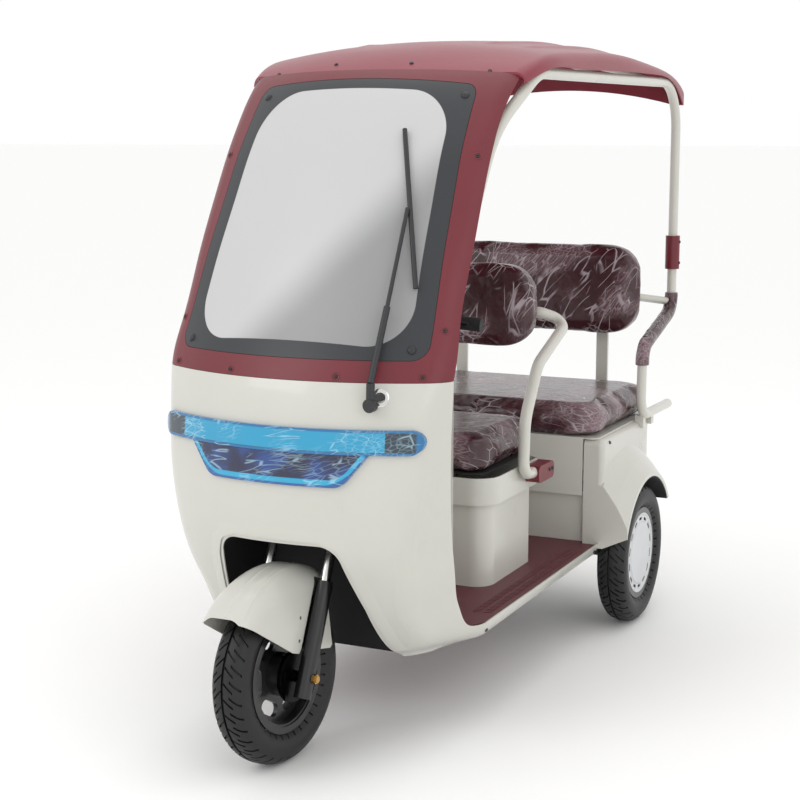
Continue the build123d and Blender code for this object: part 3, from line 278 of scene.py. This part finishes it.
def wrapped(name, turn, cross, haze_and_sheen=0.22):
    """Dark leatherette with creased film over it, its creases along turn and cross."""
    finish = Finish(name)
    place = finish.place()
    long_creases = creased(finish, place, turn, 7.0, 36.0, 0.05, 0.03)
    cross_creases = creased(finish, place, cross, 5.0, 30.0, 0.04, 0.04)
    fine_creases = creased(finish, place, turn, 5.0, 110.0, 0.09, 0.03)
    patches = finish.noise(place, 6.0, 1.0).rise(0.48, 0.62)
    breaks = finish.noise(place, 14.0, 1.0).rise(0.44, 0.58)
    gaps = finish.noise(place, 10.0, 1.0).rise(0.52, 0.64)
    creases = (long_creases * breaks).most(cross_creases * gaps).most(fine_creases * patches * 0.7)
    cloud = finish.noise(place, 6.0, 3.0)
    grain = finish.noise(place, 1600.0, 1.0)
    hide = finish.mix(cloud.rise(0.35, 0.65), paint(54, 22, 28), paint(70, 33, 40))
    # lighter milky patches: partly the film's own haze, partly painted sheen, given more on the seats
    # that face up
    hazy_with_sheen = finish.mix(patches * haze_and_sheen * 0.8, hide, paint(168, 140, 148))
    swell = finish.noise(place, 30.0, 2.0)
    height = creases * 1.0 + swell * 1.2 + grain * 0.04
    # painted highlight: the creases are painted near white, where the film's folds would catch the
    # light
    finish.set(
        Base_Color=finish.mix(creases * 0.6, hazy_with_sheen, paint(204, 190, 196)),
        Roughness=cloud * 0.14 + 0.2,
        Normal=finish.bump(height, 0.003, 0.7),
        Specular_IOR_Level=0.5,
        Coat_Weight=0.25,
        Coat_Roughness=0.2,
    )
    return finish


leaning, steep = (0, math.radians(-48), 0), (0, math.radians(-80), 0)
back_wrap = wrapped("leatherette back under film", leaning, steep)
seat_wrap = wrapped("leatherette seat under film", (0, 0.15, 0.35), (0, -0.3, -0.6), 0.4)
pad_wrap = wrapped("leatherette pad under film", (0, math.radians(-60), 0), (0, 0.3, 0), 0.5)


def lamp_film(name, bowl):
    """Blue film over the bowl, or over the long bar above it."""
    finish = Finish(name)
    place = finish.place()
    x, y, z = finish.parts(place)
    folds = creased(finish, place, (0, -0.12, 0), 9.0, 60.0, 0.06, 0.05)
    fine = creased(finish, place, (0, -0.3, 0), 6.0, 120.0, 0.09, 0.04)
    breaks = finish.noise(place, 20.0, 1.0).rise(0.5, 0.62)
    patches = finish.noise(place, 9.0, 1.0).rise(0.45, 0.6)
    creases = (folds * breaks).most(fine * patches * 0.5)
    if bowl:
        bowl_foot, bowl_foot_half, bowl_corner = 0.686, 0.176, 0.042
        side = x.size() - (z - bowl_foot) * 0.79 - bowl_foot_half + bowl_corner
        low = bowl_foot + bowl_corner - z
        edge = finish.corner_reach(side, low) - bowl_corner
        line = edge.rise(-0.0185, -0.0165) * edge.rise(-0.005, -0.007)
        depth = finish.noise(place, 16.0, 2.0).rise(0.4, 0.7)
        inside = finish.mix(depth, paint(6, 14, 58), paint(14, 60, 128))
        rim = finish.mix(edge.rise(-0.019, -0.017), inside, paint(4, 84, 150))
        colour = finish.mix(line, rim, paint(8, 158, 198))
    else:
        lens = ((z - 0.7925).size() - 0.0225).rise(0.001, -0.001)
        bar = ((z - 0.792).size() - 0.023).rise(0.001, -0.001)
        middle = (x.size() - 0.2702).rise(0.001, -0.001) * lens
        ends = (x.size() - 0.335).rise(0.004, -0.004) * bar
        rim = finish.mix(ends, paint(3, 104, 158), paint(22, 44, 60))
        colour = finish.mix(middle, rim, paint(4, 148, 190))
    # painted highlight: the creases are painted pale, where the film's folds would catch the light
    finish.set(
        Base_Color=finish.mix(creases * 0.38, colour, paint(190, 232, 248)),
        Roughness=creases * 0.2 + 0.1,
        Normal=finish.bump(creases, 0.0012, 0.6),
        Coat_Weight=1.0,
        Coat_Roughness=0.05,
    )
    return finish


bar_film = lamp_film("blue film on the lamp bar", False)
bowl_film = lamp_film("blue film on the lamp bowl", True)

# %% [markdown]
# ## Tyre rubber and the floor
#
# Rubber is nearly black, with a dry bloom and fine moulding marks. The floor is the
# wine red plastic again, a little darker, and it gets its ribs as real shapes later.

# %% Rubber and floor
tyre_rubber = moulded("tyre rubber", paint(14, 14, 14), 0.5, 0.0003, 520, drift=0.18)
floor_wine = moulded("wine red floor", paint(92, 40, 47), 0.5, 0.0002, 800, drift=0.06)
well_black = moulded("wheel well black", paint(18, 18, 19), 0.65, 0.0002, 600, drift=0.1)
print("finishes", len(bpy.data.materials))

# %% [markdown]
# ## Finishes on the CAD parts
#
# Each CAD part says by the name of its material what it is made of. A table gives
# every name its finish here, and a few parts that differ from their group follow.
# The shapes of the CAD parts are left as they are.

# %% Put the finishes on the CAD parts
by_slot = {
    "frame_black": frame_paint,
    "floor_maroon": floor_wine,
    "black_plastic": black_plastic,
    "body_cream": ivory,
    "trim_maroon": wine,
    "glazing": pane,
    "wiper_black": wiper_black,
    "lamp_blue": bar_film,
    "tube_cream": tube_ivory,
    "cushion_maroon": back_wrap,
    "lamp_red": lamp_red,
    "motor_casting": casting,
    "battery_case": battery_case,
    "bright_steel": bright_steel,
    "axle_steel": brass,
    "grip_rubber": grip_rubber,
    "tyre_rubber": tyre_rubber,
    "rim_black": rim_paint,
    "cover_silver": cover_silver,
    "board_black": board_black,
}
for name, node in frame["nodes"].items():
    slot_name = node.data.materials[0].name.split(".")[0]
    node.data.materials[0] = by_slot[slot_name].material
for name, finish in (
    ("roof_shell", wine_roof_lit_copy),
    ("headlamp_bowl", bowl_film),
    ("wheel_well", well_black),
    ("wheel_houses", well_black),
    ("seat_hinges", frame_paint),
):
    frame["nodes"][name].data.materials[0] = finish.material

# %% [markdown]
# ## Camera, light and floor
#
# The tricycle stands on a very large pale floor, and is seen from its front left and
# a little above. A white sky gives the even light of a studio, and three
# large soft lamps give the shapes their slight shading.

# %% Camera and studio
def aim(obj, place, target):
    obj.location = place
    obj.rotation_euler = (Vector(target) - Vector(place)).to_track_quat("-Z", "Y").to_euler()


turn, tilt = math.radians(25.51), math.radians(9.316)
camera = bpy.data.objects.new("camera", bpy.data.cameras.new("camera"))
camera.data.lens = 71.84
camera.data.sensor_width = 36
eye = Vector((1.845, -4.051, 1.481))
look = Vector((-math.sin(turn) * math.cos(tilt), math.cos(turn) * math.cos(tilt), -math.sin(tilt)))
aim(camera, eye, eye + look)
scene = bpy.context.scene
scene.collection.objects.link(camera)
scene.camera = camera
scene.view_settings.view_transform = "Standard"

world = bpy.data.worlds.new("studio")
scene.world = world
world.use_nodes = True
world.node_tree.nodes["Background"].inputs["Color"].default_value = (1, 1, 1, 1)
world.node_tree.nodes["Background"].inputs["Strength"].default_value = 1.0

for name, place, width, power in (
    ("key light", (-2.2, -4.2, 3.6), 2.4, 42),
    ("fill light", (3.6, -2.4, 2.6), 2.6, 16),
    ("top light", (0.3, 0.6, 4.2), 3.0, 20),
):
    light = bpy.data.objects.new(name, bpy.data.lights.new(name, "AREA"))
    light.data.size = width
    light.data.energy = power
    light.data.specular_factor = 0.35
    scene.collection.objects.link(light)
    aim(light, place, (0, 0, 0.8))

floor_mesh = bpy.data.meshes.new("floor")
floor_bm = bmesh.new()
bmesh.ops.create_grid(floor_bm, x_segments=1, y_segments=1, size=300)
floor_bm.to_mesh(floor_mesh)
floor_bm.free()
floor = bpy.data.objects.new("floor", floor_mesh)
scene.collection.objects.link(floor)
floor_finish = moulded("pale floor", paint(251, 251, 250), 1.0, 0.00001, 6, drift=0.002)
floor_mesh.materials.append(floor_finish.material)

# %% [markdown]
# ## Helpers for pieces
#
# Every new piece is a bmesh that becomes one object, at the origin, riding on a body
# of the CAD model. Fittings sit on the CAD surfaces, so a ray finds the spot and the
# way it faces.

# %% Making and placing pieces
def piece(name, bm, body, finish, sharp=35):
    bmesh.ops.recalc_face_normals(bm, faces=bm.faces[:])
    for face in bm.faces:
        face.smooth = True
    mesh = bpy.data.meshes.new(name)
    bm.to_mesh(mesh)
    bm.free()
    mesh.set_sharp_from_angle(angle=math.radians(sharp))
    mesh.materials.append(finish.material)
    obj = bpy.data.objects.new(name, mesh)
    scene.collection.objects.link(obj)
    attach(obj, body)
    print(name, "faces", len(mesh.polygons))
    return obj


skins = {}


def touch(node, start, direction):
    """The first point of a CAD node on a ray, and the way its surface faces there."""
    if node not in skins:
        data = frame["nodes"][node].data
        corners = [v.co.copy() for v in data.vertices]
        skins[node] = BVHTree.FromPolygons(corners, [tuple(p.vertices) for p in data.polygons])
    place, normal = skins[node].ray_cast(Vector(start), Vector(direction).normalized())[:2]
    if place is None:
        return None, None
    return place, normal if normal.dot(Vector(direction)) < 0 else -normal


def turned(bm, profile, place, normal, steps):
    """Adds a turned shape: radius and height pairs, from its middle outwards."""
    part = bmesh.new()
    verts = [part.verts.new((radius, 0, height)) for radius, height in profile]
    edges = [part.edges.new(pair) for pair in zip(verts, verts[1:])]
    bmesh.ops.spin(
        part, geom=verts + edges, cent=(0, 0, 0), axis=(0, 0, 1), dvec=(0, 0, 0),
        angle=math.tau, steps=steps, use_merge=True, use_duplicate=False,
    )
    bmesh.ops.remove_doubles(part, verts=part.verts[:], dist=0.00001)
    way = Vector(normal).to_track_quat("Z", "Y").to_matrix().to_4x4()
    bmesh.ops.transform(part, matrix=Matrix.Translation(place) @ way, verts=part.verts[:])
    bmesh.ops.recalc_face_normals(part, faces=part.faces[:])
    holder = bpy.data.meshes.new("holder")
    part.to_mesh(holder)
    part.free()
    bm.from_mesh(holder)
    bpy.data.meshes.remove(holder)


def fit(bm, node, start, direction, profile, steps):
    """Turns a fitting on to the spot where a ray meets a CAD node."""
    place, normal = touch(node, start, direction)
    if place is None:
        raise RuntimeError(f"nothing of {node} lies behind {start}")
    turned(bm, profile, place, normal, steps)


# %% [markdown]
# ## Cushions
#
# A cushion is foam in a sewn cover: crowned in the middle, pulled in at its edges,
# flat only where it lies on its board. Pushing points about by hand looks like a
# soap bar. Blender's cloth gives the true swell: the CAD block, a little smaller, is
# remeshed, blown up from inside for twenty frames, and held inside a limit.

# %% Swell the cushions
swell_frames = 20
swell_pressure = 1.4
film = 0.002


def cushion(name, node, body, finish, limit, shrink, rest=None, voxel=0.006):
    low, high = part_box(node)
    middle = (low + high) / 2
    bm = bmesh.new()
    bm.from_mesh(frame["nodes"][node].data)
    bmesh.ops.remove_doubles(bm, verts=bm.verts[:], dist=0.00005)
    for vert in bm.verts:
        for axis in range(3):
            half = (high[axis] - low[axis]) / 2
            vert.co[axis] = middle[axis] + (vert.co[axis] - middle[axis]) * (1 - shrink[axis] / half)
    mesh = bpy.data.meshes.new(name)
    bm.to_mesh(mesh)
    bm.free()
    obj = bpy.data.objects.new(name, mesh)
    scene.collection.objects.link(obj)
    remesh = obj.modifiers.new("remesh", "REMESH")
    remesh.mode = "VOXEL"
    remesh.voxel_size = voxel
    settle(obj)
    start = [v.co.copy() for v in obj.data.vertices]
    cloth = obj.modifiers.new("cloth", "CLOTH")
    cloth.settings.use_pressure = True
    cloth.settings.uniform_pressure_force = swell_pressure
    cloth.settings.effector_weights.gravity = 0
    cloth.settings.quality = 4
    cloth.point_cache.frame_start = 1
    cloth.point_cache.frame_end = swell_frames
    for step in range(1, swell_frames + 1):
        scene.frame_set(step)
    settle(obj)
    scene.frame_set(1)
    for vert, was in zip(obj.data.vertices, start):
        move = vert.co - was
        if move.length > limit:
            move *= limit / move.length
        place = was + move
        ripple = noise.noise(place * 26) * 0.0016 + noise.noise(place * 60) * 0.0007
        place += move.normalized() * ripple
        for axis in range(3):
            place[axis] = min(max(place[axis], low[axis] - film), high[axis] + film)
        if rest is not None:
            place[rest] = max(place[rest], low[rest])
        vert.co = place
    smooth = obj.modifiers.new("smooth", "SUBSURF")
    smooth.levels = smooth.render_levels = 1
    settle(obj)
    for polygon in obj.data.polygons:
        polygon.use_smooth = True
    obj.data.materials.clear()
    obj.data.materials.append(finish.material)
    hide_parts(node)
    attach(obj, body)
    print(name, "faces", len(obj.data.polygons))


def settle(obj):
    """Turns the modifiers into the mesh itself."""
    seen = obj.evaluated_get(bpy.context.evaluated_depsgraph_get())
    made = bpy.data.meshes.new_from_object(seen)
    obj.modifiers.clear()
    obj.data = made


seat_shrink, back_shrink, upward = (0.008, 0.008, 0.008), (0.006, 0.007, 0.006), 2
cushion("driver_cushion", "driver_seat", "seat_lid", seat_wrap, 0.012, seat_shrink, upward)
cushion("bench_cushion", "rear_bench", "body", seat_wrap, 0.012, seat_shrink, upward, 0.0075)
cushion("driver_back_pad", "driver_backrest", "body", back_wrap, 0.009, back_shrink)
cushion("bench_back_pad", "rear_backrest", "body", back_wrap, 0.009, back_shrink)
cushion("arm_wraps", "arm_pads", "body", pad_wrap, 0.003, (0.0, 0.0, 0.0), None, 0.004)

# %% [markdown]
# ## Tyres
#
# The tyres have a groove round the middle and slanting grooves out to the shoulders.
# The section is a short row of points, spun round the axle. Turning each ring a
# little further the further out it lies makes the columns of faces slant, and every
# sixth column is then inset and sunk to make the grooves.

# %% Spin the tyres and sink the tread
section = [
    (0.0, 0.2098), (0.0026, 0.2098), (0.0034, 0.2148), (0.0100, 0.2146), (0.0180, 0.2132),
    (0.0262, 0.2102), (0.0345, 0.2048), (0.0415, 0.1962), (0.0450, 0.1850), (0.0462, 0.1750),
    (0.0448, 0.1640), (0.0400, 0.1530), (0.0345, 0.1455), (0.0320, 0.1425),
]
columns = 216
groove_every = 6
shoulder, lean_per_metre = 0.042, 250


def tyre(name, node, body, centre, axle):
    bm = bmesh.new()
    outer = [bm.verts.new((across, 0, radius)) for across, radius in section]
    inner = [bm.verts.new((-across, 0, radius)) for across, radius in section[1:]]
    ring = list(reversed(inner)) + outer
    edges = [bm.edges.new(pair) for pair in zip(ring, ring[1:])]
    edges.append(bm.edges.new((ring[-1], ring[0])))
    bmesh.ops.spin(
        bm, geom=ring + edges, cent=(0, 0, 0), axis=(1, 0, 0), dvec=(0, 0, 0),
        angle=math.tau, steps=columns, use_merge=True, use_duplicate=False,
    )
    bmesh.ops.remove_doubles(bm, verts=bm.verts[:], dist=0.00001)
    bmesh.ops.recalc_face_normals(bm, faces=bm.faces[:])
    grooves = []
    for face in bm.faces:
        middle = face.calc_center_median()
        angle = math.atan2(middle.y, middle.z) % math.tau
        column = int(angle / math.tau * columns)
        reach = abs(middle.x)
        if middle.x < 0:
            column += groove_every // 2
        if 0.0034 < reach < 0.030 and column % groove_every == 0:
            grooves.append(face)
        elif 0.018 < reach < 0.040 and column % groove_every == groove_every // 2:
            grooves.append(face)
    for vert in bm.verts:
        reach = abs(vert.co.x)
        if vert.co.yz.length > 0.19:
            lean = math.radians(min(reach, shoulder) * lean_per_metre)
            vert.co = Matrix.Rotation(lean, 3, "X") @ vert.co
    bmesh.ops.inset_region(
        bm, faces=grooves, thickness=0.0010, depth=-0.0042, use_even_offset=True
    )
    way = Vector(axle).to_track_quat("X", "Z").to_matrix().to_4x4()
    bmesh.ops.transform(bm, matrix=Matrix.Translation(centre) @ way, verts=bm.verts[:])
    obj = piece(name, bm, body, tyre_rubber, 50)
    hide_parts(node)


joints = {joint["name"]: joint for joint in frame["joints"]}
for name, node, body, joint in (
    ("front_tread", "front_tyre", "front_wheel", "front_wheel_spin"),
    ("rear_tread_left", "rear_tyre_left", "rear_wheel_left", "rear_wheel_left_spin"),
    ("rear_tread_right", "rear_tyre_right", "rear_wheel_right", "rear_wheel_right_spin"),
):
    tyre(name, node, body, joints[joint]["pos_m"], joints[joint]["axis"])

# %% [markdown]
# ## Screws and caps
#
# Counterbored screws hold the surround to the cab, and four round caps cover the
# bolts of the pane. Each is turned from a short profile and set on the surface.

# %% Screws of the surround and the roof, caps of the pane
counterbore = [(0.0, 0.0004), (0.0062, 0.0004), (0.0066, 0.0012), (0.0086, 0.0016), (0.0100, 0.0002)]
bolt_head = [(0.0, 0.0016), (0.0016, 0.0016), (0.0020, 0.0030), (0.0040, 0.0028), (0.0046, 0.0006)]
small_bolt = [(0.0, 0.0026), (0.0020, 0.0026), (0.0040, 0.0034), (0.0052, 0.0022), (0.0056, -0.001)]
pane_cap = [(0.0, 0.0052), (0.0060, 0.0050), (0.0090, 0.0036), (0.0104, 0.0012), (0.0108, -0.001)]
ahead, down = (0, 1, 0), (0, 0, -1)
pillar_spots = [(-0.3555, 1.04), (0.3555, 1.04), (-0.346, 1.438), (0.346, 1.438)]
rail_spots = [(x, 0.938) for x in (-0.333, -0.141, 0.1425, 0.331)]
roof_spots = [(-0.29, -0.316), (-0.113, -0.329), (0.103, -0.333), (0.307, -0.31)]
cap_spots = [(-0.2745, 1.585), (0.2785, 1.585), (-0.301, 0.996), (0.297, 0.998)]
rings = bmesh.new()
heads = bmesh.new()
for x, z in pillar_spots + rail_spots:
    fit(rings, "windscreen_frame", (x, -2, z), ahead, counterbore, 20)
    fit(heads, "windscreen_frame", (x, -2, z), ahead, bolt_head, 12)
piece("surround_counterbores", rings, "body", wine)
for x, y in roof_spots:
    fit(heads, "roof_shell", (x, y, 2), down, small_bolt, 12)
piece("surround_screws", heads, "body", wiper_black)
caps = bmesh.new()
for x, z in cap_spots:
    fit(caps, "windscreen", (x, -2, z), ahead, pane_cap, 28)
piece("pane_caps", caps, "body", wiper_black)

# %% [markdown]
# ## Strips that follow the skin
#
# The soft lip round the front arch, the ribs on the roof and the creases on the
# mudguard all follow a surface. Each is a grid
# laid along a path: a ray drops every point on to the CAD surface, and it is then
# lifted by the strip's own profile, so its edges die into the skin.

# %% Lay strips on the CAD surfaces
def strip(name, node, path, direction, profile, length_steps, body, finish):
    """path gives a point and a sideways step, profile a reach and a height."""
    bm = bmesh.new()
    bmesh.ops.create_grid(bm, x_segments=length_steps, y_segments=8, size=0.5)
    for vert in bm.verts:
        along, across = vert.co.x + 0.5, vert.co.y + 0.5
        start, side = path(along)
        reach, height = profile(across, along)
        place, normal = touch(node, start + side * reach, direction)
        if place is None:
            vert.tag = True
            vert.co = start
        else:
            vert.co = place + normal * height
    lost = [vert for vert in bm.verts if vert.tag]
    bmesh.ops.delete(bm, geom=lost, context="VERTS")
    piece(name, bm, body, finish, 60)


def along_points(points):
    """A path through points, even along its length, and the way it runs."""
    spans = [(b - a).length for a, b in zip(points, points[1:])]
    whole = sum(spans)

    def at(share):
        left = share * whole
        for a, b, span in zip(points, points[1:], spans):
            if left <= span or b is points[-1]:
                return a.lerp(b, min(1.0, left / span)), (b - a).normalized()
            left -= span

    return at


def swell_profile(width, height):
    def profile(across, along):
        lift = math.sin(math.pi * across) ** 1.5 * height
        fade = min(1.0, along * 12, (1 - along) * 12)
        return (across - 0.5) * width, lift * fade - 0.0003

    return profile


def straight(x, front, length):
    """A path from front to back, seen from above."""

    def path(share):
        return Vector((x, front + share * length, 2)), Vector((1, 0, 0))

    return path


for number, x in enumerate((-0.3, -0.19, 0.19, 0.3)):
    strip(
        f"roof_rib_{number}", "roof_shell", straight(x, -0.06, 0.86), down,
        swell_profile(0.05, 0.005), 60, "body", wine_roof_lit_copy,
    )

arch_side = [(0.11, 0.543), (0.15, 0.528), (0.166, 0.49), (0.188, 0.38), (0.2, 0.3), (0.205, 0.24)]
arch_line = [(-x, z) for x, z in reversed(arch_side)] + arch_side
arch_at = along_points([Vector((x, -2, z)) for x, z in arch_line])


def arch_path(share):
    start, way = arch_at(share)
    return start, Vector((-way.z, 0, way.x))


def lip_profile(across, along):
    ease = across * across * (3 - 2 * across)
    return 0.006 + across * 0.034, 0.0032 * (1 - ease) ** 0.7 - 0.0002


strip("arch_lip", "front_shell", arch_path, ahead, lip_profile, 96, "body", ivory)

for side in (-1, 1):
    strip(
        f"guard_crease_{side}", "front_fender", straight(side * 0.021, -1.07, 0.22), down,
        swell_profile(0.014, 0.0022), 60, "steering", ivory,
    )

# %% [markdown]
# ## Ribs on the floor
#
# Along each side the floor pan has a strip of slanting ribs for grip, and a plain
# outer band. Each rib is a small bar with its top edges rounded.

# %% Bars on the floor
floor_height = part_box("floor_pan")[1].z
rib_size = (0.022, 0.0055, 0.0024)
rib_rows = (0.322, 0.350)
rib_count, rib_pitch, rib_start = 48, 0.0145, -0.40
ribs = bmesh.new()
for side in (-1, 1):
    for middle in rib_rows:
        for step in range(rib_count):
            spot = (side * middle, rib_start + step * rib_pitch, floor_height + 0.0010)
            made = bmesh.ops.create_cube(ribs, size=1)["verts"]
            size_by = Matrix.Diagonal((*rib_size, 1))
            turn_by = Matrix.Rotation(math.radians(side * 32), 4, "Z")
            matrix = Matrix.Translation(spot) @ turn_by @ size_by
            bmesh.ops.transform(ribs, matrix=matrix, verts=made)
tops = [edge for edge in ribs.edges if all(v.co.z > floor_height + 0.002 for v in edge.verts)]
bmesh.ops.bevel(
    ribs, geom=tops, offset=0.0009, offset_type="OFFSET", segments=1,
    profile=0.5, affect="EDGES", material=-1,
)
piece("floor_ribs", ribs, "body", floor_wine)

# %% [markdown]
# ## Small fittings
#
# The last small things: screws on the brackets and sleeves, bolts low on the cab and
# high on the rear body, and the washer round the wiper's spindle. They are turned from
# profiles again, because a round fitting on a lathe is made just so.

# %% Screws and the spindle's washer
bolts = bmesh.new()
for side, quarter in ((-1, "rear_quarter_right"), (1, "rear_quarter_left")):
    inwards = (-side, 0, 0)
    for y in (0.118, 0.140):
        fit(bolts, "rail_brackets", (side, y, 0.558), inwards, small_bolt, 12)
    for z in (1.078, 1.146):
        fit(bolts, "post_sleeves", (side * 0.6, 1.067, z), inwards, bolt_head, 12)
    for y, z in ((-0.47, 0.262), (0.36, 0.268)):
        fit(bolts, "front_shell", (side, y, z), inwards, small_bolt, 12)
    fit(bolts, quarter, (side, 0.44, 0.585), inwards, small_bolt, 12)
piece("body_bolts", bolts, "body", wiper_black)
washer = [(0.0105, -0.001), (0.0125, 0.0022), (0.0185, 0.0026), (0.0215, 0.001), (0.0220, -0.001)]
ring = bmesh.new()
fit(ring, "front_shell", (0.248, -2, 0.893), ahead, washer, 32)
piece("spindle_washer", ring, "body", bright_steel)
